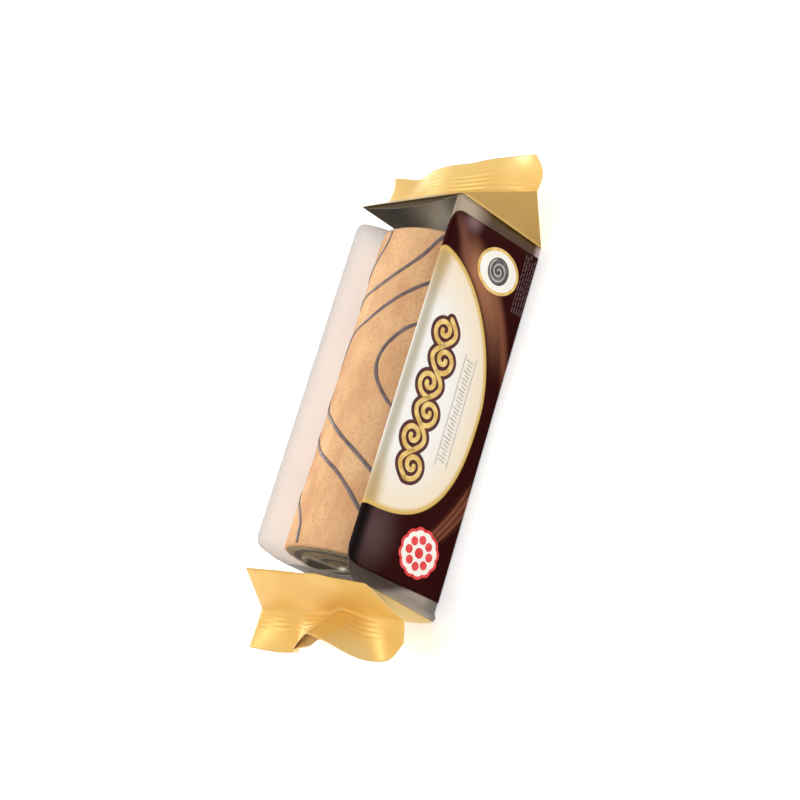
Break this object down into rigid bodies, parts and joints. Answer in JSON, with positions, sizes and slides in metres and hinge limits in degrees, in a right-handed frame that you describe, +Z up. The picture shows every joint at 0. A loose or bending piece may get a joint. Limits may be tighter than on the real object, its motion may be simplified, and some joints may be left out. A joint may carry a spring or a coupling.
{
  "type": "swiss roll cake in flow-wrap pack",
  "caption": "Sponge roll cake on a tray, shut in a see-through film tube with one printed side and crimped fins at both ends.",
  "frame": {"origin": "on the surface the pack rests on, under the middle of the pack", "axes": "+X along the cake to the far fin, +Y to the back, away from the printed side, +Z up through the clear window"},
  "size_m": [0.2775, 0.122, 0.062],
  "materials": {
    "clear_film": "clear, thin and glossy",
    "gold_film": "satin gold print, grey metallised inside",
    "printed_film": "dark brown gloss print with a cream oval",
    "tray": "milky, thin and slightly see-through",
    "sponge": "soft baked sponge with browned patches",
    "icing_stripes": "dark drizzled lines, set",
    "filling": "dark cream, smooth"
  },
  "bodies": {
    "root": {"cake_pack": "clear_film"}
  },
  "joints": []
}
